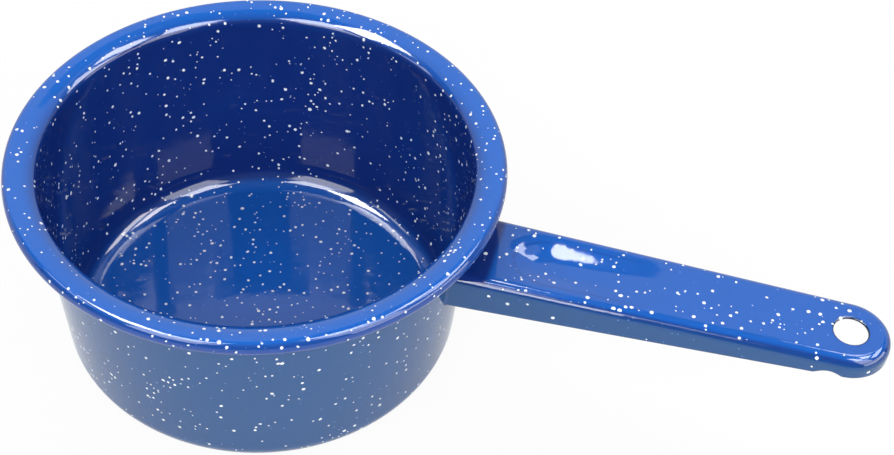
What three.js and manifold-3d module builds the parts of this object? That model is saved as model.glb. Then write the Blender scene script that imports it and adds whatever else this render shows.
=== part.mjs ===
// Enamel saucepan: a bowl drawn from one sheet, with its edge rolled over into a flat rim, and a
// pressed channel handle that is spot-welded to the wall through a flange turned down at its root.
// Millimetres, +Z up. The origin is the centre of the base's underside, and the handle lies along +X.
import * as THREE from 'three';
import { mergeVertices } from 'three/addons/utils/BufferGeometryUtils.js';
import Module from 'manifold-3d';

const { degToRad, lerp, smoothstep } = THREE.MathUtils;

// Bowl
const panHeight = 78;         // base to the top of the rim
const mouthDiameter = 145;    // inside the wall, where it turns out into the rim
const rimWidth = 10;          // from the inside of the wall to the edge of the roll
const wallTaper = 4.2;        // degrees off upright, wider at the mouth
const bowlSheet = 1;          // steel with its enamel
const cornerRadius = 10;      // outside, from the wall to the base
const lipRadius = 5.5;        // rounded inner edge of the rim
const curlRadius = 2.1;       // rolled outer edge of the rim
const rimCrown = 6;           // degrees that the rim's top falls away at each side
const curlGap = 1.2;          // open slot between the end of the roll and the wall

// Handle
const handleDrop = 20.6;      // from the top of the rim down to the handle's top
const handleLength = 140.8;   // from the wall to the tip
const rootWidth = 33;
const tipWidth = 27.8;        // also the diameter of the round end
const rootDepth = 13.9;       // from the handle's top to the lower edge of the skirts
const tipDepth = 7.3;
const handleSheet = 1;
const edgeRadius = 3.8;       // outside, from the top into the skirts
const hangHoleDiameter = 11.2;
const hangHoleSetback = 13.5; // from the tip to the hole's centre
const notchDepth = 1.6;       // relief in each skirt, just before the round end
const notchLength = 9;

// Thumb rest pressed into the handle's top
const thumbSetback = 11.5;    // from the wall to its near end
const thumbLength = 54;
const thumbWidth = 19;
const thumbDepth = 2.6;
const thumbCorner = 6;
const thumbStep = 1.6;        // width of the steep step at its edge
const thumbStepShare = 0.3;   // part of the depth that the step takes
const thumbSlope = 7;         // width of the gentle slope inside the edge

// Welded joint at the handle's root
const seatGap = 0.3;          // between the wall and what is welded to it
const flangeInset = 1.6;      // from the skirts' inner faces to the flange's sides
const flangeRise = 2.2;       // from the skirts' lower edges up to the flange's edge
const flangeCorner = 2.5;
const weldCount = 3;
const weldDiameter = 4.5;
const weldPitch = 8.5;
const weldCrown = 0.4;        // how far a nugget stands out of the flange
const weldClearance = 0.3;

// Enamel
const bowlBlue = 0x1f4fa8;
const handleBlue = 0x2354b0;
const enamelRoughness = 0.12;

// How far a blank or a cutting tool runs past what it meets
const cutMargin = 4;

// Facets
const roundSegments = 64;
const bendSteps = 6;
const curlSteps = 9;
const holeSegments = 32;
const weldSegments = 16;
const sideStations = 30;
const tipStations = 14;
const topColumns = 9;

// What follows from the bowl's sizes
const taper = degToRad(wallTaper);
const crown = degToRad(rimCrown);
const mouthRadius = mouthDiameter / 2;
const rimRadius = mouthRadius + rimWidth;
const lipX = mouthRadius + lipRadius * Math.cos(taper);
const curlX = rimRadius - curlRadius;
const crownHalf = (curlX + curlRadius * Math.sin(crown) - lipX + lipRadius * Math.sin(crown)) / 2;
const crownRadius = crownHalf / Math.sin(crown);
const crownX = lipX - lipRadius * Math.sin(crown) + crownHalf;
const shoulderZ = panHeight - crownRadius * (1 - Math.cos(crown));
const lipZ = shoulderZ - lipRadius * Math.cos(crown);
const curlZ = shoulderZ - curlRadius * Math.cos(crown);

// Outer radius of the wall at a height
function wallRadius(z) {
  const bendZ = lipZ + lipRadius * Math.sin(taper);
  return mouthRadius + (z - bendZ) * Math.tan(taper) + bowlSheet / Math.cos(taper);
}

// What follows from the handle's sizes
const handleTop = panHeight - handleDrop;
const wallX = wallRadius(handleTop);
const tipRadius = tipWidth / 2;
const tipX = wallX + handleLength - tipRadius;
const thumbX = wallX + thumbSetback;
const notchX = tipX - notchLength / 2;

const wasm = await Module();
wasm.setup();

// A closed geometry as a solid that can be joined and cut
function solidOf(geometry) {
  const bare = geometry.clone();
  bare.deleteAttribute('normal');
  bare.deleteAttribute('uv');
  const merged = mergeVertices(bare);
  const corners = merged.index.array;
  const triangles = [];
  for (let i = 0; i < corners.length; i += 3) {
    const [a, b, c] = [corners[i], corners[i + 1], corners[i + 2]];
    if (a !== b && b !== c && c !== a) triangles.push(a, b, c);
  }
  return new wasm.Manifold(new wasm.Mesh({
    numProp: 3,
    vertProperties: merged.attributes.position.array,
    triVerts: new Uint32Array(triangles),
  }));
}

function geometryOf(solid) {
  const mesh = solid.getMesh();
  const geometry = new THREE.BufferGeometry();
  geometry.setAttribute('position', new THREE.BufferAttribute(new Float32Array(mesh.vertProperties), 3));
  geometry.setIndex(new THREE.BufferAttribute(new Uint32Array(mesh.triVerts), 1));
  geometry.computeVertexNormals();
  return geometry;
}

// Points on an arc in the bowl's section, angles from +X towards +Z
function arc(x, z, radius, from, to, steps) {
  return Array.from({ length: steps + 1 }, (_, i) => {
    const angle = lerp(from, to, i / steps);
    return new THREE.Vector2(x + radius * Math.cos(angle), z + radius * Math.sin(angle));
  });
}

// One sheet in section: the face seen from inside and above, and the back of the sheet behind it
function bowlGeometry() {
  const quarter = Math.PI / 2;
  const cornerX = wallRadius(cornerRadius) - cornerRadius / Math.cos(taper);
  const underZ = curlZ - curlRadius;
  const tailX = wallRadius(underZ) + curlGap;
  const bends = (inset, corner) => [
    ...arc(cornerX, cornerRadius, corner, -quarter, -taper, bendSteps),
    ...arc(lipX, lipZ, lipRadius - inset, Math.PI - taper, quarter + crown, bendSteps),
    new THREE.Vector2(crownX, panHeight - inset),
    ...arc(curlX, curlZ, curlRadius - inset, quarter - crown, -quarter, curlSteps),
    new THREE.Vector2(tailX, underZ + inset),
  ];
  const face = [new THREE.Vector2(0, bowlSheet), ...bends(0, cornerRadius - bowlSheet)];
  const back = [new THREE.Vector2(0, 0), ...bends(bowlSheet, cornerRadius)];
  const geometry = new THREE.LatheGeometry([...back, ...face.reverse()], roundSegments);
  return geometry.rotateX(quarter);
}

// Depth of the thumb rest: a round-cornered dish, steep at the pan's end and fading towards the tip
function thumbDip(x, y) {
  const along = Math.abs(x - thumbX - thumbLength / 2) - (thumbLength / 2 - thumbCorner);
  const across = Math.abs(y) - (thumbWidth / 2 - thumbCorner);
  const pastCorner = Math.hypot(Math.max(along, 0), Math.max(across, 0));
  const inward = thumbCorner - pastCorner - Math.min(Math.max(along, across), 0);
  const fade = 1 - smoothstep(x, thumbX + thumbSlope, thumbX + thumbLength);
  const step = thumbStepShare * smoothstep(inward, 0, thumbStep);
  const slope = (1 - thumbStepShare) * smoothstep(inward, 0, thumbSlope);
  return thumbDepth * (step + slope) * fade;
}

// Places round the handle's outline, from the root along one side, round the tip and back.
// Each has a point on the centre line, the way out from it, the reach and the skirt's depth there.
function outlineStations() {
  const rootHalf = rootWidth / 2;
  const startX = Math.sqrt(wallRadius(handleTop - rootDepth) ** 2 - rootHalf ** 2) - cutMargin;
  const side = Array.from({ length: sideStations }, (_, i) => {
    const x = lerp(startX, tipX, i / sideStations);
    const t = (x - wallX) / (tipX - wallX);
    const relief = notchDepth * Math.max(0, Math.cos(Math.PI * (x - notchX) / notchLength));
    return {
      x,
      reach: lerp(rootHalf, tipRadius, t),
      depth: lerp(rootDepth, tipDepth, t) - (Math.abs(x - notchX) < notchLength / 2 ? relief : 0),
    };
  });
  const near = side.map((s) => ({ ...s, out: new THREE.Vector2(0, -1) }));
  const far = side.map((s) => ({ ...s, out: new THREE.Vector2(0, 1) })).reverse();
  const tip = Array.from({ length: tipStations + 1 }, (_, i) => {
    const angle = Math.PI * (i / tipStations - 0.5);
    const out = new THREE.Vector2(Math.cos(angle), Math.sin(angle));
    return { x: tipX, reach: tipRadius, depth: tipDepth, out };
  });
  return [...near, ...tip, ...far];
}

// One face of the pressed sheet at a station: across the top, round the edge and down the skirt
function pressedRow({ x, reach, depth, out }, inset) {
  const flat = reach - edgeRadius;
  const row = [];
  const add = (away, down) => {
    const [px, py] = [x + out.x * away, out.y * away];
    row.push(new THREE.Vector3(px, py, handleTop - down - thumbDip(px, py)));
  };
  for (let i = 0; i < topColumns; i += 1) add((flat * i) / topColumns, inset);
  for (let i = 0; i <= bendSteps; i += 1) {
    const angle = (Math.PI / 2) * (i / bendSteps);
    const radius = edgeRadius - inset;
    add(flat + radius * Math.sin(angle), edgeRadius - radius * Math.cos(angle));
  }
  add(reach - inset, depth);
  return row;
}

// The pressed channel as a closed skin: outer face, inner face and the cut edge that joins them
function channelGeometry() {
  const stations = outlineStations();
  const outer = stations.map((s) => pressedRow(s, 0));
  const inner = stations.map((s) => pressedRow(s, handleSheet));
  const positions = [];
  const quad = (a, b, c, d) => [a, b, c, a, c, d].forEach((p) => positions.push(p.x, p.y, p.z));
  const last = outer[0].length - 1;
  for (let i = 0; i + 1 < stations.length; i += 1) {
    for (let j = 0; j < last; j += 1) {
      quad(outer[i][j], outer[i][j + 1], outer[i + 1][j + 1], outer[i + 1][j]);
      quad(inner[i][j], inner[i + 1][j], inner[i + 1][j + 1], inner[i][j + 1]);
    }
    quad(outer[i][last], inner[i][last], inner[i + 1][last], outer[i + 1][last]);
  }
  const end = stations.length - 1;
  for (let j = 0; j < last; j += 1) {
    quad(outer[0][j], inner[0][j], inner[0][j + 1], outer[0][j + 1]);
    quad(outer[end][j], outer[end][j + 1], inner[end][j + 1], inner[end][j]);
  }
  const geometry = new THREE.BufferGeometry();
  geometry.setAttribute('position', new THREE.Float32BufferAttribute(positions, 3));
  return geometry;
}

// The wall's outer cone, made larger by a margin, over the height that the handle needs
function wallCone(margin) {
  const [low, high] = [handleTop - rootDepth - cutMargin, handleTop + cutMargin];
  const spread = margin / Math.cos(taper);
  const [top, bottom] = [wallRadius(high) + spread, wallRadius(low) + spread];
  const cone = new THREE.CylinderGeometry(top, bottom, high - low, roundSegments);
  return solidOf(cone.rotateX(Math.PI / 2).translate(0, 0, (low + high) / 2));
}

// Flange at the root: a tab turned down from the top, following the wall between the skirts
function flangeSolid() {
  const half = rootWidth / 2 - handleSheet - flangeInset;
  const low = handleTop - rootDepth + flangeRise;
  const high = handleTop - handleSheet / 2;
  const shape = new THREE.Shape();
  shape.moveTo(-half, high);
  shape.lineTo(-half, low + flangeCorner);
  shape.absarc(-half + flangeCorner, low + flangeCorner, flangeCorner, Math.PI, 1.5 * Math.PI);
  shape.absarc(half - flangeCorner, low + flangeCorner, flangeCorner, 1.5 * Math.PI, 2 * Math.PI);
  shape.lineTo(half, high);
  shape.closePath();
  const sweep = { depth: wallX + cutMargin, bevelEnabled: false, curveSegments: bendSteps };
  const slab = new THREE.ExtrudeGeometry(shape, sweep);
  const [alongY, alongZ, alongX] = [[0, 1, 0], [0, 0, 1], [1, 0, 0]].map((v) => new THREE.Vector3(...v));
  slab.applyMatrix4(new THREE.Matrix4().makeBasis(alongY, alongZ, alongX));
  return solidOf(slab).intersect(wallCone(seatGap + handleSheet));
}

// Where each nugget sits on the wall, and the way it points
function weldPlaces() {
  const z = handleTop - (rootDepth - flangeRise + handleSheet) / 2;
  const radius = wallRadius(z);
  return Array.from({ length: weldCount }, (_, i) => {
    const y = (i - (weldCount - 1) / 2) * weldPitch;
    const turn = Math.asin(y / radius);
    const level = new THREE.Vector3(Math.cos(turn), Math.sin(turn), 0);
    const out = level.clone().multiplyScalar(Math.cos(taper)).setZ(-Math.sin(taper));
    return { seat: level.multiplyScalar(radius).setZ(z), out };
  });
}

// A short round bar that stands on the wall, from one distance off it to another
function barGeometry(diameter, from, to) {
  const bar = new THREE.CylinderGeometry(diameter / 2, diameter / 2, to - from, weldSegments);
  return bar.translate(0, (from + to) / 2, 0);
}

function turnTo(object, { seat, out }) {
  object.position.copy(seat);
  object.quaternion.setFromUnitVectors(new THREE.Vector3(0, 1, 0), out);
  object.updateMatrix();
  return object;
}

function handleGeometry() {
  const holeRadius = hangHoleDiameter / 2;
  const hole = new THREE.CylinderGeometry(holeRadius, holeRadius, 2 * cutMargin, holeSegments);
  hole.rotateX(Math.PI / 2).translate(wallX + handleLength - hangHoleSetback, 0, handleTop);
  let solid = solidOf(channelGeometry()).add(flangeSolid());
  solid = solid.subtract(wallCone(seatGap)).subtract(solidOf(hole));
  const flangeFace = seatGap + handleSheet;
  for (const place of weldPlaces()) {
    const drill = barGeometry(weldDiameter + 2 * weldClearance, -cutMargin, flangeFace + cutMargin);
    solid = solid.subtract(solidOf(drill.applyMatrix4(turnTo(new THREE.Object3D(), place).matrix)));
  }
  return geometryOf(solid);
}

function enamel(color) {
  return new THREE.MeshStandardMaterial({ color, roughness: enamelRoughness, metalness: 0 });
}

function named(name, geometry, material) {
  const mesh = new THREE.Mesh(geometry, material);
  mesh.name = name;
  return mesh;
}

const saucepan = new THREE.Group();
saucepan.name = 'enamel_saucepan';
saucepan.add(named('pan_body', bowlGeometry(), enamel(bowlBlue)));
saucepan.add(named('handle', handleGeometry(), enamel(handleBlue)));
weldPlaces().forEach((place, i) => {
  const nugget = barGeometry(weldDiameter, seatGap, seatGap + handleSheet + weldCrown);
  saucepan.add(turnTo(named(`weld_nugget_${i + 1}`, nugget, enamel(handleBlue)), place));
});

export default saucepan;
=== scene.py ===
# %% [markdown]
# # A speckled enamel saucepan
# The pan is two pressed sheets of steel. One is drawn into a bowl, and its edge is rolled over into a
# broad rim. The other is folded into a channel that serves as the handle. Both were dipped in blue
# enamel, spattered with white and fired. The part's solids are loaded first and stay where they are. Each
# finished piece below is modelled over its own solid, at the same size.

# %% Load the solids
import math

import bmesh
import bpy
import numpy as np
from mathutils import Matrix, Vector


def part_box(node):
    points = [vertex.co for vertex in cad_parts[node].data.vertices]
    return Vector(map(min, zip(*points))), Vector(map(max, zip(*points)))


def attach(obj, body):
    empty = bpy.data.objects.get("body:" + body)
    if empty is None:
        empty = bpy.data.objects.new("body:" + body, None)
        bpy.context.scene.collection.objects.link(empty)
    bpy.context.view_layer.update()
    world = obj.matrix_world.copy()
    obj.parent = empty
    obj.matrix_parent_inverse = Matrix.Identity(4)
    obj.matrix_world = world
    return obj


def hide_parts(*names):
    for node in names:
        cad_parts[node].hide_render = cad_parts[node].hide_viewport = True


MM = 0.001


def in_mm(lengths):
    return [round(length / MM, 1) for length in lengths]


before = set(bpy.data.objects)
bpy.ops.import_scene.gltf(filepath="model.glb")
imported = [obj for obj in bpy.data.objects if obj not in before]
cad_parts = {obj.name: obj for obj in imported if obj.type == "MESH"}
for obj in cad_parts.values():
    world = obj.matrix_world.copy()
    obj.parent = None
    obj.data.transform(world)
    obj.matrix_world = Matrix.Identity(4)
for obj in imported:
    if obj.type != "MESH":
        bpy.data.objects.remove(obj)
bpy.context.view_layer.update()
bowl_low, bowl_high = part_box("pan_body")
handle_low, handle_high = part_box("handle")
print("bowl:", in_mm(bowl_high - bowl_low), "handle:", in_mm(handle_high - handle_low))

# %% [markdown]
# ## The camera
# A camera can be set by hand, by numbers, or by matching known shapes. Here the rim, which is a true
# circle, shows as an ellipse, and its tilt and width give the height and distance of the lens. The pan is
# seen from above at about 45 degrees, with the handle to the right. A small roll levels the rim as the
# picture has it.

# %% Camera
camera_place = Vector((136.15, -359.54, 442.70)) * MM
camera_aim = Vector((62.65, 12.45, 50.0)) * MM
camera_roll = math.radians(4.57)
image_width = 894
focal_pixels = 1600


def make_camera():
    data = bpy.data.cameras.new("camera")
    data.lens = focal_pixels / image_width * data.sensor_width
    camera = bpy.data.objects.new("camera", data)
    look = (camera_aim - camera_place).to_track_quat("-Z", "Y").to_matrix()
    turned = look @ Matrix.Rotation(camera_roll, 3, "Z")
    camera.matrix_world = Matrix.Translation(camera_place) @ turned.to_4x4()
    bpy.context.scene.collection.objects.link(camera)
    bpy.context.scene.camera = camera
    return camera


camera = make_camera()
print("lens", round(camera.data.lens, 1), "mm, at", in_mm(camera_place))

# %% [markdown]
# ## Sheets of points
# Both pieces are thin sheets with smooth bends, so each can be described as rows of points: a section
# that is swept or turned. A grid of points becomes a mesh of quads. Grids that share an edge are welded
# by merging the points that coincide, and a count of open edges shows at once if a seam was missed.

# %% Rows of points
quarter = math.pi / 2


def steps(start, end, count):
    return np.linspace(start, end, count + 1)


def arc(centre_x, centre_z, radius, start, end, count):
    turns = steps(start, end, count)
    return [(centre_x + radius * math.cos(a), centre_z + radius * math.sin(a)) for a in turns]


def line(start, end, count):
    return [tuple(np.array(start) + (np.array(end) - np.array(start)) * t) for t in steps(0, 1, count)]


print("a quarter turn in two steps:", np.round(arc(0, 0, 1, 0, quarter, 2), 2).tolist())

# %% Meshes from rows
seam_width = 0.002 * MM


def add_grid(mesh, rows, ring=False):
    made = [[mesh.verts.new(point) for point in row] for row in rows]
    if ring:
        made.append(made[0])
    for near, far in zip(made, made[1:]):
        for corners in zip(near, near[1:], far[1:], far):
            mesh.faces.new(corners)


def make_piece(name, mesh):
    bmesh.ops.remove_doubles(mesh, verts=mesh.verts, dist=seam_width)
    bmesh.ops.dissolve_degenerate(mesh, edges=mesh.edges, dist=seam_width)
    bmesh.ops.recalc_face_normals(mesh, faces=mesh.faces)
    for face in mesh.faces:
        face.smooth = True
    open_edges = sum(not edge.is_manifold for edge in mesh.edges)
    data = bpy.data.meshes.new(name)
    mesh.to_mesh(data)
    mesh.free()
    piece = bpy.data.objects.new(name, data)
    bpy.context.scene.collection.objects.link(piece)
    print(name, len(data.polygons), "faces,", open_edges, "open edges")
    return piece


print("points closer than", seam_width / MM, "mm are merged")

# %% [markdown]
# ## The bowl
# The real bowl is deep-drawn: a punch pushes a flat disc through a ring. It has a round corner at the base
# and a wall that widens upwards. A tight lip turns the wall outwards, a broad brow runs up to the top of
# the rim, and a small curl hides the cut edge. A lathe-like spin of the section gives that form. The
# section is walked once along one face of the sheet, from the middle of the floor to the tail of the
# curl, and once back along the other face. The lip is fitted to the picture by its inner face and the
# wall by its outer face, so the sheet is 1 mm thick at the base and about 1.8 mm thick at the lip.

# %% Bowl sizes
rim_radius = bowl_high.x
pan_height = bowl_high.z
neck_radius = 73.5 * MM
neck_height = 72.8 * MM
wall_taper = math.radians(4.2)
bowl_sheet = 1 * MM
corner_radius = 10 * MM
brow_radius = 11.4 * MM
brow_end = math.radians(52)
lip_radius = 2.0 * MM
curl_radius = 2.7 * MM
curl_gap = 1.6 * MM
crown_width = 0.2 * MM


def wall_radius(z):
    return neck_radius + (z - neck_height) * math.tan(wall_taper)


curl_x, curl_z = rim_radius - curl_radius, pan_height - curl_radius
brow_x, brow_z = curl_x - crown_width, pan_height - brow_radius
lip_x = brow_x - (brow_radius - lip_radius) * math.cos(brow_end)
lip_z = brow_z + (brow_radius - lip_radius) * math.sin(brow_end)
lip_sheet = lip_radius - (lip_x - wall_radius(lip_z)) * math.cos(wall_taper)
corner_x = wall_radius(corner_radius) - corner_radius / math.cos(wall_taper)
tail_x = wall_radius(curl_z - curl_radius) + curl_gap
print("base", round(2 * corner_x / MM, 1), "mm wide, rim", round(2 * rim_radius / MM, 1), "mm wide")

# %% Bowl section
floor_steps, corner_steps, wall_steps = 20, 24, 36
lip_steps, brow_steps, curl_steps, tail_steps = 16, 16, 28, 4


def bowl_side(sheet, lip_inset):
    floor_z = bowl_sheet - sheet
    corner = arc(corner_x, corner_radius, corner_radius - floor_z, -quarter, -wall_taper, corner_steps)
    lip = arc(lip_x, lip_z, lip_radius - lip_inset, math.pi - wall_taper, math.pi - brow_end, lip_steps)
    brow = arc(brow_x, brow_z, brow_radius - lip_inset, math.pi - brow_end, quarter, brow_steps)
    curl = arc(curl_x, curl_z, curl_radius - sheet, quarter, -quarter, curl_steps)
    floor = line((0, floor_z), corner[0], floor_steps)
    wall = line(corner[-1], lip[0], wall_steps)
    tail = line(curl[-1], (tail_x, curl_z - curl_radius + sheet), tail_steps)
    return [*floor, *corner, *wall, *lip, *brow, *curl, *tail]


section = bowl_side(0, 0) + bowl_side(bowl_sheet, lip_sheet)[::-1]
print("bowl section:", len(section), "points")

# %% Bowl mesh
bowl_turns = 288


def make_bowl():
    mesh = bmesh.new()
    rows = []
    for angle in steps(0, 2 * math.pi, bowl_turns)[:-1]:
        rows.append([(x * math.cos(angle), x * math.sin(angle), z) for x, z in section])
    add_grid(mesh, rows, ring=True)
    return make_piece("enamel_bowl", mesh)


bowl = make_bowl()

# %% [markdown]
# ## The handle
# The handle is pressed from flat sheet. Its top is level, its edges roll down into skirts, and the skirts
# run on round the end as a lip. A dish for the thumb is pressed into the top near the bowl. One section
# would do for a plain channel. The round end with its hang hole needs rays that run from the hole to the
# outline, so the handle is made of three grids: the straight channel, the band round the tip and the rays
# about the hole.

# %% Handle sizes
handle_top = handle_high.z
tip_end = handle_high.x
root_half = 16.2 * MM
tip_radius = 13.9 * MM
root_depth = 13.9 * MM
tip_depth = 7.3 * MM
handle_sheet = 1 * MM
edge_radius = 3.8 * MM
hole_radius = 5.6 * MM
hole_setback = 13.5 * MM
notch_depth = 1.6 * MM
notch_length = 9 * MM

root_x = wall_radius(handle_top)
tip_x = tip_end - tip_radius
hole_x = tip_end - hole_setback
notch_x = tip_x - notch_length / 2
rays_x = hole_x - 2 * hole_radius
print("handle:", round((tip_end - root_x) / MM, 1), "mm long, hole at", round(hole_x / MM, 1))

# %% [markdown]
# ## The thumb rest
# The thumb rest is a shallow trough with round ends. It is deepest near the bowl and fades out towards
# the tip. It could be sculpted by hand. Here each point of the top is lowered by a rule: the farther it
# lies inside the outline of the rest, the deeper it goes, with a soft start and a soft end.

# %% Thumb rest
thumb_setback = 11.5 * MM
thumb_length = 63.5 * MM
thumb_half = 13.2 * MM
thumb_depth = 2.3 * MM
thumb_corner = 13 * MM
thumb_slope = 11 * MM
thumb_stretch = 1.3
thumb_x = root_x + thumb_setback
probe_steps = 50


def smooth(value, low, high):
    t = min(max((value - low) / (high - low), 0), 1)
    return t * t * (3 - 2 * t)


def thumb_inward(x, y):
    along = (abs(x - thumb_x - thumb_length / 2) - thumb_length / 2) / thumb_stretch + thumb_corner
    across = abs(y) - (thumb_half - thumb_corner)
    past_corner = math.hypot(max(along, 0), max(across, 0))
    return thumb_corner - past_corner - min(max(along, across), 0)


def thumb_dip(x, y):
    fade = 1 - smooth(x, thumb_x + thumb_slope, thumb_x + thumb_length)
    return thumb_depth * smooth(thumb_inward(x, y), 0, thumb_slope) * fade


dips = [thumb_dip(x, 0) for x in steps(thumb_x, thumb_x + thumb_length, probe_steps)]
print("thumb rest:", round(max(dips) / MM, 2), "mm deep at most")

# %% [markdown]
# ## The skirts
# From the flat top the sheet bends down, ends in a rounded cut edge and comes back up on the inside. The
# channel narrows and grows shallower towards the tip, and a small notch in each skirt eases the metal
# just before the round end. One function draws the side for any width and depth, so every station can use
# it.

# %% Skirt section
bend_steps, drop_steps, edge_steps = 12, 8, 8


def along_handle(x):
    return (x - root_x) / (tip_x - root_x)


def reach_at(x):
    return root_half + (tip_radius - root_half) * along_handle(x)


def depth_at(x):
    relief = notch_depth * max(0, math.cos(math.pi * (x - notch_x) / notch_length))
    in_notch = abs(x - notch_x) < notch_length / 2
    return root_depth + (tip_depth - root_depth) * along_handle(x) - (relief if in_notch else 0)


def bend(flat, radius, start, end):
    turns = steps(start, end, bend_steps)
    return [(flat + radius * math.sin(a), radius * math.cos(a) - edge_radius) for a in turns]


def skirt(reach, depth, swell=0.0):
    flat = reach - edge_radius
    outer, inner = edge_radius + swell, edge_radius - handle_sheet - swell
    cut_z = handle_sheet / 2 - depth
    bend_out = bend(flat, outer, 0, quarter)
    bend_in = bend(flat, inner, quarter, 0)
    down = line(bend_out[-1], (flat + outer, cut_z), drop_steps)[1:-1]
    edge = arc(flat + (outer + inner) / 2, cut_z, (outer - inner) / 2, 0, -math.pi, edge_steps)
    up = line((flat + inner, cut_z), bend_in[0], drop_steps)[1:-1]
    return bend_out + down + edge + up + bend_in


print("skirt at the root:", len(skirt(root_half, root_depth)), "points")

# %% [markdown]
# ## The channel
# The channel starts on the bowl's wall, which is a cone, and runs level to the tip. A straight loft would
# leave a gap beside the round wall, so each line of the section starts at its own point on the cone. Over
# the first millimetre the sheet swells into a small fillet, as the glaze does where it fills a corner.

# %% Straight channel
top_columns = 44
channel_steps = 130
fillet_radius = 1.1 * MM
fillet_steps = [0, 0.1, 0.22, 0.36, 0.52, 0.7, 0.9, 1.1]
root_sink = 0.15 * MM


def channel_section(x, swell):
    reach = reach_at(x)
    flat = reach - edge_radius
    side = skirt(reach, depth_at(x), swell)
    far_to_near = [(-y, z) for y, z in side][::-1]
    over = [(y, swell) for y in steps(-flat, flat, top_columns)][1:-1]
    under = [(y, -handle_sheet - swell) for y in steps(flat, -flat, top_columns)][1:-1]
    return far_to_near + over + side + under


def on_wall(y, z):
    return math.sqrt((wall_radius(handle_top + z) - root_sink) ** 2 - y * y)


def channel_row(share, away):
    x = root_x + (rays_x - root_x) * share
    swell = fillet_radius - math.sqrt(fillet_radius**2 - max(fillet_radius - away, 0) ** 2)
    row = []
    for y, z in channel_section(x, swell):
        start = on_wall(y, z)
        place = start + (rays_x - start) * share
        row.append((place, y, handle_top + z - thumb_dip(place, y)))
    return row + row[:1]


def channel_rows():
    run = rays_x - root_x
    near_root = [s * MM for s in fillet_steps]
    distances = near_root + list(steps(near_root[-1], run, channel_steps))[1:]
    return [channel_row(d / run, d) for d in distances]


channel = channel_rows()
print("channel:", len(channel), "sections of", len(channel[0]), "points")

# %% [markdown]
# ## The round end
# At the tip the skirts run round a half circle, and the hang hole goes through the flat top with a rounded
# edge. A hole can be cut with a boolean, which leaves long thin faces. Rays from the outline to the hole
# keep the faces even, and their outer points match those of the grids beside them.

# %% Tip and hang hole
side_steps, turn_steps, ray_steps = 24, 48, 12


def outline_places():
    along = [(x, reach_at(x), depth_at(x)) for x in steps(rays_x, tip_x, side_steps)]
    near = [(x, reach, depth, -quarter) for x, reach, depth in along]
    turn = [(tip_x, tip_radius, tip_depth, a) for a in steps(-quarter, quarter, turn_steps)][1:-1]
    far = [(x, reach, depth, quarter) for x, reach, depth in along[::-1]]
    return near + turn + far


def band_row(x, reach, depth, angle):
    way_x, way_y = math.cos(angle), math.sin(angle)
    return [(x + way_x * a, way_y * a, handle_top + z) for a, z in skirt(reach, depth)]


def ray_row(foot_x, foot_y):
    foot = np.array((foot_x, foot_y))
    centre = np.array((hole_x, 0))
    way = (foot - centre) / np.linalg.norm(foot - centre)
    half = handle_sheet / 2
    rim = centre + way * (hole_radius + half)
    flat_points = [foot + (rim - foot) * t for t in steps(0, 1, ray_steps)]
    over = [(*p, handle_top) for p in flat_points]
    under = [(*p, handle_top - handle_sheet) for p in flat_points[::-1]]
    turns = steps(0, math.pi, edge_steps)[1:-1]
    edge = [(half - half * math.sin(a), half * math.cos(a)) for a in turns]
    round_edge = [(*(centre + way * (hole_radius + r)), handle_top - half + z) for r, z in edge]
    return over + round_edge + under


def tip_grids():
    band = [band_row(*place) for place in outline_places()]
    feet = [row[0][:2] for row in band]
    flat = reach_at(rays_x) - edge_radius
    feet += [(rays_x, y) for y in steps(flat, -flat, top_columns)][1:-1]
    return band, [ray_row(*foot) for foot in feet]


band, rays = tip_grids()
print("tip:", len(band), "stations and", len(rays), "rays about the hole")

# %% [markdown]
# ## The welded root
# Nothing goes through the bowl's wall, so the handle is spot-welded to it through a tab that is turned
# down inside the channel. The tab lies on the wall. It can be modelled as a thin patch of the wall
# itself, raised by one sheet, with its thickness falling to nothing over a round edge.

# %% Root flange
flange_half = 13.9 * MM
flange_rise = 2.2 * MM
flange_corner = 2.5 * MM
flange_bend = 1.5 * MM
flange_columns, flange_steps = 40, 30
flange_low = handle_top - root_depth + flange_rise


def flange_row(z):
    into_corner = max(flange_corner - (z - flange_low), 0)
    half = flange_half - flange_corner + math.sqrt(flange_corner**2 - into_corner**2)
    into_bend = max(flange_bend - (handle_top - handle_sheet - z), 0)
    swell = flange_bend - math.sqrt(flange_bend**2 - min(into_bend, flange_bend) ** 2)
    row = []
    for share in np.sin(steps(-quarter, quarter, flange_columns)):
        y = half * share
        in_z, in_y = z - flange_low, flange_half - abs(y)
        edge = min(in_z, in_y)
        if max(in_z, in_y) < flange_corner:
            edge = flange_corner - math.hypot(flange_corner - in_z, flange_corner - in_y)
        near = min(max(edge, 0) / (handle_sheet / 2), 1)
        lift = handle_sheet * math.sqrt(max(1 - (1 - near) ** 2, 0)) + swell
        row.append((y, z, lift))
    return row


def flange_rows():
    high = handle_top - handle_sheet / 2
    heights = flange_low + (high - flange_low) * (1 - np.cos(steps(0, quarter, flange_steps)))
    face, back = [], []
    for z in heights:
        radius = wall_radius(z)
        row = flange_row(z)
        face.append([(math.sqrt((radius + lift) ** 2 - y * y), y, z) for y, z, lift in row])
        back.append([(math.sqrt((radius - root_sink) ** 2 - y * y), y, z) for y, z, lift in row])
    return face, back


flange_face, flange_back = flange_rows()
print("flange:", len(flange_face), "rows of", len(flange_face[0]), "points")

# %% [markdown]
# ## One handle from its grids
# The real handle is one sheet, so the grids become one mesh. The channel, the band and the rays meet
# point on point and merge. A strip closes the sheet where it meets the wall, and the flange gets its own
# four edges, so that no edge stays open.

# %% Handle mesh
def end_strip():
    end = channel[0][:-1]
    count = len(end)
    cut_edge = len(skirt(root_half, root_depth)) // 2
    outer = [(cut_edge + i) % count for i in range(count // 2 + 1)]
    inner = [(cut_edge - i) % count for i in range(count // 2 + 1)]
    return [[end[a], end[b]] for a, b in zip(outer, inner)]


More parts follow.
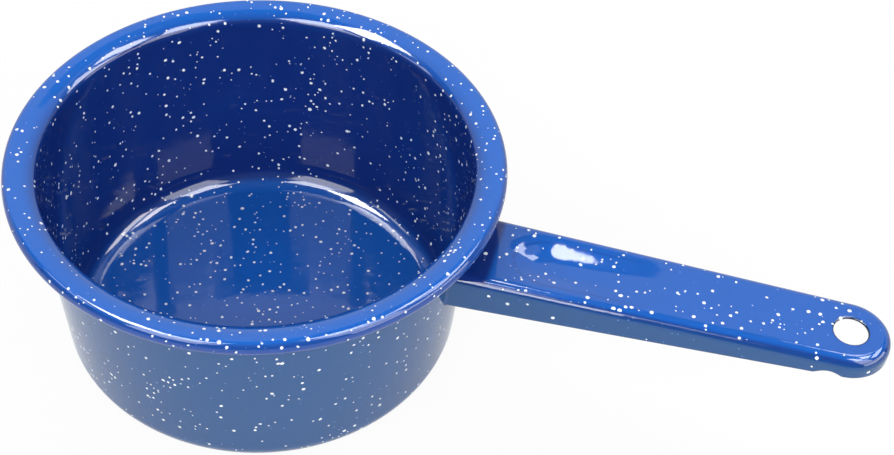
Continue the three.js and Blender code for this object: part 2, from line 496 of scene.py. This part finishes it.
def make_handle():
    mesh = bmesh.new()
    add_grid(mesh, channel)
    add_grid(mesh, band)
    add_grid(mesh, rays, ring=True)
    add_grid(mesh, end_strip())
    add_grid(mesh, flange_face)
    add_grid(mesh, flange_back)
    for row in (0, -1):
        add_grid(mesh, [flange_face[row], flange_back[row]])
    for column in (0, -1):
        add_grid(mesh, [[f[column], b[column]] for f, b in zip(flange_face, flange_back)])
    return make_piece("enamel_handle", mesh)


handle = make_handle()

# %% [markdown]
# ## Weld nuggets
# A spot weld leaves a round button where two sheets have fused, and it stands up a little from the tab. A
# squashed ball would do, but a turned profile with a low dome keeps the button's edge crisp. Three of
# them sit in a row, each turned to face out from the sloping wall.

# %% Weld nuggets
weld_count = 3
weld_radius = 2.25 * MM
weld_pitch = 8.5 * MM
weld_crown = 0.4 * MM
dome_steps, weld_turns = 10, 40


def weld_place(y):
    z = handle_top - (root_depth - flange_rise + handle_sheet) / 2
    radius = wall_radius(z)
    turn = math.asin(y / radius)
    level = math.cos(wall_taper)
    out = Vector((math.cos(turn) * level, math.sin(turn) * level, -math.sin(wall_taper)))
    seat = Vector((radius * math.cos(turn), y, z)) + out * handle_sheet
    return Matrix.Translation(seat) @ out.to_track_quat("Z", "Y").to_matrix().to_4x4()


def make_weld(number, y):
    dome = [(weld_radius * math.sin(a), weld_crown * math.cos(a)) for a in steps(0, quarter, dome_steps)]
    profile = dome + [(weld_radius, -handle_sheet), (0, -handle_sheet)]
    turns = steps(0, 2 * math.pi, weld_turns)[:-1]
    mesh = bmesh.new()
    add_grid(mesh, [[(r * math.cos(a), r * math.sin(a), h) for r, h in profile] for a in turns], ring=True)
    bmesh.ops.transform(mesh, matrix=weld_place(y), verts=mesh.verts)
    return make_piece(f"enamel_weld_{number}", mesh)


middle = (weld_count - 1) / 2
welds = [make_weld(i + 1, (i - middle) * weld_pitch) for i in range(weld_count)]

# %% [markdown]
# ## Nodes in one line each
# A finish in Blender is a small graph of nodes. They can be drawn by hand in the editor, but a script
# that adds a node, sets its values and wires it up in one call reads like a recipe, so that is what is
# used here.

# %% Helpers for nodes
def add_node(tree, kind, inputs=(), **settings):
    made = tree.nodes.new("ShaderNode" + kind)
    for name, value in settings.items():
        setattr(made, name, value)
    for place, value in dict(inputs).items():
        if isinstance(value, bpy.types.NodeSocket):
            tree.links.new(value, made.inputs[place])
        else:
            made.inputs[place].default_value = value
    return made


def math_node(tree, operation, *values):
    return add_node(tree, "Math", dict(enumerate(values)), operation=operation).outputs[0]


def ramp_node(tree, value, low, high, to_low=0.0, to_high=1.0):
    inputs = {0: value, 1: low, 2: high, 3: to_low, 4: to_high}
    return add_node(tree, "MapRange", inputs, interpolation_type="SMOOTHSTEP").outputs[0]


def blend_node(tree, share, first, second):
    return add_node(tree, "Mix", {0: share, 6: first, 7: second}, data_type="RGBA").outputs[2]


def noise_node(tree, place, width, detail, **more):
    inputs = {"Vector": place, "Scale": 1 / width, "Detail": detail, **more}
    return add_node(tree, "TexNoise", inputs).outputs


def empty_tree(owner):
    owner.use_nodes = True
    owner.node_tree.nodes.clear()
    return owner.node_tree


# %% [markdown]
# ## White drops
# White drops are spattered over the wet blue before the fire, so the dots are round, of mixed size, and
# lie in loose groups. A picture of dots would stretch on the bends. A solid pattern in space has no
# seams: each cell of a Voronoi grid holds one point, some points become drops, and the surface shows
# where it cuts through a drop. A slow noise makes some regions richer in drops, and a fine one makes them
# a little uneven.

# %% Drops
group_width = 11 * MM
group_floor, group_peak = 0.32, 0.68
sparse_share, rich_share = 0.35, 1.65
drop_blur = 0.05 * MM
small_bias = 1.6
wobble_width = 1.3 * MM
wobble_reach = 0.5 * MM
noise_middle = (0.5, 0.5, 0.5)


def drops(tree, place, cell, share, sizes):
    """Mask of drops whose radius in metres lies between the two sizes, in cells of the given width."""
    small, large = sizes
    grid = add_node(tree, "TexVoronoi", {"Vector": place, "Scale": 1 / cell, "Randomness": 1.0}).outputs
    luck = add_node(tree, "SeparateColor", {0: grid["Color"]}).outputs
    crowd = noise_node(tree, grid["Position"], group_width, detail=1.0)[0]
    richness = ramp_node(tree, crowd, group_floor, group_peak, sparse_share, rich_share)
    chance = math_node(tree, "MULTIPLY", richness, share)
    kept = math_node(tree, "LESS_THAN", luck[0], chance)
    growth = math_node(tree, "POWER", luck[1], small_bias)
    size = math_node(tree, "MULTIPLY_ADD", growth, (large - small) / cell, small / cell)
    inside = math_node(tree, "SUBTRACT", size, grid["Distance"])
    blur = drop_blur / cell
    return math_node(tree, "MULTIPLY", ramp_node(tree, inside, -blur, blur), kept)


def uneven_place(tree, spot):
    wobble = noise_node(tree, spot, wobble_width, detail=1.0)[1]
    shift = add_node(tree, "VectorMath", {0: wobble, 1: noise_middle}, operation="SUBTRACT")
    push = add_node(tree, "VectorMath", {0: shift.outputs[0], "Scale": wobble_reach}, operation="SCALE")
    return add_node(tree, "VectorMath", {0: spot, 1: push.outputs[0]}, operation="ADD").outputs[0]


print("drops lie in groups about", round(group_width / MM), "mm wide")

# %% [markdown]
# ## Blue enamel
# Enamel is glass fused to steel. Its lit colour is a light blue. A navy is painted in as shade where less
# light falls, and a greyer blue as shade on faces that look outwards. The colour could be one value, but
# the real coat is cloudy, paler under a mist of tiny drops, and dark at cut edges. Three numbers on the
# mesh, written in a later cell, say how much shade is painted, how much outward shade is painted, and how
# thin the coat is.

# %% Enamel colour
light_blue = (0.009, 0.118, 0.52, 1)
# Painted shade: the navy stands where less light falls, and the greyer blue on faces that look outwards.
shade_blue = (0.0065, 0.026, 0.180, 1)
outer_shade_blue = (0.008, 0.076, 0.24, 1)
edge_blue = (0.006, 0.020, 0.060, 1)
drop_white = (0.88, 0.94, 0.97, 1)
mist_blue = (0.22, 0.40, 0.78, 1)
outer_drop_share = 0.72
small_cell = 2.2 * MM
large_cell, large_share, large_sizes = 5.0 * MM, 0.14, (0.55 * MM, 0.80 * MM)
mist_cell, mist_share, mist_sizes = 1.8 * MM, 0.22, (0.12 * MM, 0.28 * MM)
mist_strength = 0.6
cloud_width = 28 * MM
cloud_strength = 0.24


def coat_and_shade_number(tree, name):
    return add_node(tree, "Attribute", attribute_name=name).outputs["Fac"]


def white_mask(tree, place, lit_drop_share, shaded_drop_share, drop_sizes):
    # The share of drops follows the painted shade, and it is lower on faces that look outwards.
    share = ramp_node(tree, coat_and_shade_number(tree, "painted_shade"), 0.0, 1.0, lit_drop_share, shaded_drop_share)
    outside = ramp_node(tree, coat_and_shade_number(tree, "outer_shade"), 0.0, 1.0, 1.0, outer_drop_share)
    small = drops(tree, place, small_cell, math_node(tree, "MULTIPLY", share, outside), drop_sizes)
    large = drops(tree, place, large_cell, large_share, large_sizes)
    return math_node(tree, "MAXIMUM", small, large)


def blue_and_shade(tree, spot, place):
    cloud = noise_node(tree, spot, cloud_width, detail=3.0)[0]
    cloudy = math_node(tree, "MULTIPLY_ADD", cloud, cloud_strength, -cloud_strength / 2)
    # Painted shade, made uneven by the cloud, turns the lit blue towards navy; faces that look outwards
    # get a greyer painted shade.
    depth = math_node(tree, "ADD", coat_and_shade_number(tree, "painted_shade"), cloudy)
    blue = blend_node(tree, depth, light_blue, shade_blue)
    blue = blend_node(tree, coat_and_shade_number(tree, "outer_shade"), blue, outer_shade_blue)
    blue = blend_node(tree, coat_and_shade_number(tree, "thin_coat"), blue, edge_blue)
    mist = drops(tree, place, mist_cell, mist_share, mist_sizes)
    return blend_node(tree, math_node(tree, "MULTIPLY", mist, mist_strength), blue, mist_blue)


print("light blue", light_blue[:3], "deep blue", shade_blue[:3], "outside", outer_shade_blue[:3])

# %% [markdown]
# ## Gloss of the glaze
# Fired glass is smooth but never flat: it has a soft ripple like orange peel, and the white drops stand
# up a little. One bump with both in it bends the reflections. A faint smear in the roughness keeps the
# highlights from looking machine-made.

# %% Speckled enamel
glass_ior = 1.54
smear_width = 9 * MM
smear_floor, smear_peak = 0.3, 0.75
clear_rough, smeared_rough = 0.045, 0.10
peel_width = 6 * MM
peel_height = 0.06 * MM
peel_grain = 0.4
drop_rise = 0.25


def speckled_enamel(name, lit_drop_share, shaded_drop_share, drop_sizes):
    material = bpy.data.materials.new(name)
    tree = empty_tree(material)
    spot = add_node(tree, "TexCoord").outputs["Object"]
    place = uneven_place(tree, spot)
    white = white_mask(tree, place, lit_drop_share, shaded_drop_share, drop_sizes)
    colour = blend_node(tree, white, blue_and_shade(tree, spot, place), drop_white)

    smear = noise_node(tree, spot, smear_width, detail=4.0)[0]
    rough = ramp_node(tree, smear, smear_floor, smear_peak, clear_rough, smeared_rough)
    peel = noise_node(tree, spot, peel_width, detail=2.0, Roughness=peel_grain)[0]
    raised = math_node(tree, "MULTIPLY_ADD", white, drop_rise, peel)
    ripple = add_node(tree, "Bump", {"Strength": 1.0, "Distance": peel_height, "Height": raised})
    enamel = add_node(tree, "BsdfPrincipled", {
        "Base Color": colour, "Roughness": rough, "IOR": glass_ior, "Normal": ripple.outputs[0]})
    add_node(tree, "OutputMaterial", {"Surface": enamel.outputs[0]})
    print(name, len(tree.nodes), "nodes")
    return material


bowl_enamel = speckled_enamel(
    "speckled_bowl", lit_drop_share=0.60, shaded_drop_share=0.42, drop_sizes=(0.27 * MM, 0.61 * MM))
handle_enamel = speckled_enamel(
    "speckled_handle", lit_drop_share=0.36, shaded_drop_share=0.12, drop_sizes=(0.28 * MM, 0.72 * MM))
bowl.data.materials.append(bowl_enamel)
for piece in [handle, *welds]:
    piece.data.materials.append(handle_enamel)

# %% [markdown]
# ## Painted shade and a thin coat at cut edges
# Shade is painted into the enamel as a deep navy: up the inner wall, on the steep faces of the rim, in
# the crease of the thumb rest, on the handle's bends, and at the handle's root as a painted shadow of
# the rim. The floor, the top of the rim and the handle's top keep the lighter blue. Faces that look
# outwards get a greyer blue as painted shade. Over a cut edge the glass is so thin that the dark steel
# shows. All this is a matter of place, so it is written on the points of each mesh as numbers that the
# enamel reads.

# %% Painted shade of the bowl
# Numbers for the bowl's painted shade: low on the floor, rising up the inner wall, strong on the steep
# faces of lip and curl.
least_shade = 0.13
floor_edge, wall_start = 1.1 * MM, 6 * MM
lip_start, lip_clear = 73.2 * MM, 75.4 * MM
outside_full, outside_gone = 69 * MM, 73 * MM
roll_shade, lip_shade = 0.62, 0.9
rim_steep, rim_level = 0.65, 0.99


def outward(point, normal):
    radius = max(math.hypot(point.x, point.y), seam_width)
    return (point.x * normal.x + point.y * normal.y) / radius


# Painted shade on the outer wall, fading out below the rim.
def bowl_outer_shade(point, normal):
    faces_out = outward(point, normal) > normal.z
    return 1 - smooth(point.z, outside_full, outside_gone) if faces_out else 0


# Painted shade: deepest on the inner wall and on the steep faces of the lip and curl, gone on the rim's
# top.
def bowl_shade(point, normal):
    rising = least_shade + (1 - least_shade) * smooth(point.z, floor_edge, wall_start)
    falling = 1 - smooth(point.z, lip_start, lip_clear)
    turned = roll_shade if outward(point, normal) > 0 else lip_shade
    return max(rising * falling, turned * (1 - smooth(normal.z, rim_steep, rim_level)))


def write_coat_and_shade(piece, name, rule):
    values = [rule(vertex.co, vertex.normal) for vertex in piece.data.vertices]
    piece.data.attributes.new(name, "FLOAT", "POINT").data.foreach_set("value", values)
    print(piece.name, name, "from", round(min(values), 2), "to", round(max(values), 2))


write_coat_and_shade(bowl, "painted_shade", bowl_shade)
write_coat_and_shade(bowl, "outer_shade", bowl_outer_shade)

# %% Painted shade and thin coat of the handle
# A painted shadow of the rim over the handle's root, and painted shade in the crease and on the steep
# bends.
root_shadow_full, root_shadow_gone = root_x + 9 * MM, root_x + 11.5 * MM
crease_inset = 3.6 * MM
crease_half = 0.6 * MM
crease_shade_share = 0.5
bend_shade_share = 0.8
bend_steep, bend_level = 0.7, 0.99
side_steep, side_level = 0.1, 0.8
cut_dark, cut_clear = 0.15 * MM, 0.7 * MM


# Painted shade on the steep sides of the handle.
def handle_side_shade(point, normal):
    return 1 - smooth(normal.z, side_steep, side_level)


# Painted shade: the rim's shadow at the root, the crease of the thumb rest and the bends.
def handle_shade(point, normal):
    root_shadow = 1 - smooth(point.x, root_shadow_full, root_shadow_gone)
    from_crease = abs(thumb_inward(point.x, point.y) - crease_inset)
    ending = 1 - smooth(point.x, thumb_x + thumb_length / 2, thumb_x + thumb_length)
    crease = crease_shade_share * (1 - smooth(from_crease, 0, crease_half)) * ending
    bend_shade = bend_shade_share * (1 - smooth(normal.z, bend_steep, bend_level))
    return max(least_shade, root_shadow, crease, bend_shade)


def handle_edge(point, normal):
    from_hole = math.hypot(point.x - hole_x, point.y) - hole_radius
    from_cut = point.z - handle_top + depth_at(min(max(point.x, root_x), tip_x))
    return 1 - smooth(min(from_hole, from_cut), cut_dark, cut_clear)


write_coat_and_shade(handle, "painted_shade", handle_shade)
write_coat_and_shade(handle, "outer_shade", handle_side_shade)
write_coat_and_shade(handle, "thin_coat", handle_edge)

# %% [markdown]
# ## Table and room
# The pan stands on white paper in a white room. More light would bleach the enamel too, so the paper is
# shown white by its own small glow, which only the camera and clear reflections see. The enamel mirrors a
# greyer paper than the camera sees, so the glow is lower there. To other light it stays plain paper, so
# the pan keeps its shadow. The room does the same through the world, which also gives a weak fill light
# from all sides.

# %% Table
bpy.context.scene.view_settings.view_transform = "Standard"
paper_white = (0.87, 0.87, 0.87, 1)
pure_white = (1, 1, 1, 1)
paper_glow = 0.93
paper_mirror = 0.55
table_half = 3.0
table_drop = 0.3 * MM


def seen_glow(tree, shown, mirrored):
    path = add_node(tree, "LightPath").outputs
    clear = math_node(tree, "MAXIMUM", path["Is Glossy Ray"], path["Is Transmission Ray"])
    in_mirror = math_node(tree, "MULTIPLY", clear, mirrored)
    in_view = math_node(tree, "MULTIPLY", path["Is Camera Ray"], shown)
    return math_node(tree, "MAXIMUM", in_view, in_mirror)


def white_paper():
    material = bpy.data.materials.new("white_paper")
    tree = empty_tree(material)
    paper = add_node(tree, "BsdfDiffuse", {"Color": paper_white})
    glow = add_node(tree, "Emission", {"Color": pure_white, "Strength": 1.0})
    share = seen_glow(tree, paper_glow, paper_mirror)
    mixed = add_node(tree, "MixShader", {0: share, 1: paper.outputs[0], 2: glow.outputs[0]})
    add_node(tree, "OutputMaterial", {"Surface": mixed.outputs[0]})
    return material


def make_table():
    h, z = table_half, -table_drop
    data = bpy.data.meshes.new("table")
    data.from_pydata([(-h, -h, z), (h, -h, z), (h, h, z), (-h, h, z)], [], [(0, 1, 2, 3)])
    data.materials.append(white_paper())
    table = bpy.data.objects.new("table", data)
    bpy.context.scene.collection.objects.link(table)
    return table


table = make_table()
print("table", 2 * table_half, "m wide")

# %% Room
room_mirror = 0.90
room_fill = 0.25


def make_room():
    room = bpy.data.worlds.new("white_room")
    tree = empty_tree(room)
    level = math_node(tree, "MAXIMUM", seen_glow(tree, 1.0, room_mirror), room_fill)
    light = add_node(tree, "Background", {"Color": pure_white, "Strength": level})
    add_node(tree, "OutputWorld", {"Surface": light.outputs[0]})
    bpy.context.scene.world = room
    return room


print("room:", make_room().name, "with a fill of", room_fill)

# %% [markdown]
# ## Lamps
# A bright line on a bend shows where a lamp stands, by the law of reflection, and the floor and wall of
# the bowl mirror the lamps a second time. Lamps can be placed by eye, but reading those lines is surer.
# They give four panels at each side, high and lower, and a long low one at the right. Four small lamps
# light the handle alone: two for the patches in the thumb rest and two for the line on its near bend. All
# these are kept for the gloss. Four softer lamps that the gloss doesn't show, one behind, one in front
# and one at each side, light the colour.

# %% One lamp
pan_middle = Vector((0, 0, 0.04))


def soft_lamp(away, name, azimuth, rise, width, height, radiance):
    data = bpy.data.lights.new(name, "AREA")
    data.shape = "RECTANGLE"
    data.size, data.size_y = width, height
    data.energy = radiance * math.pi * width * height
    lamp = bpy.data.objects.new(name, data)
    turn, lift = math.radians(azimuth), math.radians(rise)
    way = Vector((math.cos(turn) * math.cos(lift), math.sin(turn) * math.cos(lift), math.sin(lift)))
    lamp.location = pan_middle + way * away
    lamp.rotation_euler = way.to_track_quat("Z", "Y").to_euler()
    lamp.visible_camera = False
    bpy.context.scene.collection.objects.link(lamp)
    return lamp


print("lamps face a point", in_mm(pan_middle)[2], "mm above the base")

# %% All lamps
panel_away = 2.5
soft_away = 1.2
# Each row holds a name, the azimuth and rise in degrees, the width and height in metres, and the radiance.
panel_rows = [
    ("left_high", -164, 64, 0.94, 0.61, 30),
    ("left_side", -164, 44, 0.90, 0.30, 5),
    ("left_upper", -116, 65, 0.67, 0.70, 13),
    ("left_panel", -111, 42, 1.17, 1.34, 5.5),
    ("right_high", 25, 60, 0.80, 0.44, 14),
    ("right_side", 25, 44.5, 1.19, 0.57, 10),
    ("right_upper", -21, 65, 0.67, 0.70, 13),
    ("right_panel", -26, 43, 1.20, 1.34, 5),
    ("right_low", -9, 15, 2.57, 0.84, 5),
]
handle_rows = [
    ("thumb_lamp", 109, 73.5, 0.25, 0.62, 17),
    ("heel_lamp", 65.5, 55.5, 0.28, 0.50, 9),
    ("bend_lamp", -93.5, 32, 0.55, 0.79, 10),
    ("bend_far_lamp", -82.5, 40, 0.25, 0.50, 3),
]
soft_rows = [
    ("back_lamp", 111, 56, 0.90, 0.60, 3.2),
    ("front_lamp", -69, 40, 2.20, 0.60, 3.7),
    ("left_soft", -159, 45, 1.00, 0.60, 1.6),
    ("right_soft", 21, 45, 1.00, 0.60, 1.6),
]
panels = [soft_lamp(panel_away, *row) for row in panel_rows]
for_handle = [soft_lamp(panel_away, *row) for row in handle_rows]
softs = [soft_lamp(soft_away, *row) for row in soft_rows]
for lamp in panels + for_handle:
    lamp.visible_diffuse = False
for lamp in softs:
    lamp.visible_glossy = False
only_handle = bpy.data.collections.new("only_handle")
for piece in [handle, *welds]:
    only_handle.objects.link(piece)
for lamp in for_handle:
    lamp.light_linking.receiver_collection = only_handle
print("lamps:", [(lamp.name, round(lamp.data.energy, 1)) for lamp in panels + for_handle + softs])

# %% [markdown]
# ## Dark side of the room
# Only the backdrop behind the pan is white. The side where the camera stands is dim, which is why the
# front of the rim and the inner wall look so deep. A large shell round that side and overhead stands for
# it, and one more patch high behind the handle keeps the thumb rest dark. It is seen by mirror rays
# alone, so it neither shades the pan nor shows in the picture.

# %% Dark side
shell_radius = 3.2
shell_level = 0.15
# Each row holds start, end and steps in degrees, first round the pan and then upwards.
shell_rows = [
    ((-166, 28, 20), (0, 24, 3)),
    ((-194, 51, 24), (24, 74, 5)),
    ((60, 103, 6), (50.5, 74, 4)),
    ((0, 360, 36), (74, 89, 2)),
]


def shell_point(azimuth, rise):
    turn, lift = math.radians(azimuth), math.radians(rise)
    flat = shell_radius * math.cos(lift)
    return (flat * math.cos(turn), flat * math.sin(turn), shell_radius * math.sin(lift))


def dim_wall():
    material = bpy.data.materials.new("dark_side")
    tree = empty_tree(material)
    shade = add_node(tree, "Emission", {"Color": pure_white, "Strength": shell_level})
    add_node(tree, "OutputMaterial", {"Surface": shade.outputs[0]})
    return material


def make_shell():
    mesh = bmesh.new()
    for around, upwards in shell_rows:
        add_grid(mesh, [[shell_point(a, e) for a in steps(*around)] for e in steps(*upwards)])
    data = bpy.data.meshes.new("dark_side")
    mesh.to_mesh(data)
    mesh.free()
    data.materials.append(dim_wall())
    shell = bpy.data.objects.new("dark_side", data)
    bpy.context.scene.collection.objects.link(shell)
    shell.visible_camera = shell.visible_diffuse = False
    shell.visible_shadow = shell.visible_transmission = False
    return shell


shell = make_shell()
print("dark side:", len(shell.data.polygons), "faces")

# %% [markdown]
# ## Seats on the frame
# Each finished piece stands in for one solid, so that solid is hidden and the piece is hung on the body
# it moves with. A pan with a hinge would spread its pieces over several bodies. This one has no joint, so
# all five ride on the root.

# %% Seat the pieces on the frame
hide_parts("pan_body")
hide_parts("handle")
for number, weld in enumerate(welds, 1):
    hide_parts(f"weld_nugget_{number}")
for piece in [bowl, handle, *welds]:
    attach(piece, "root")
print("seated:", [piece.name for piece in [bowl, handle, *welds]])
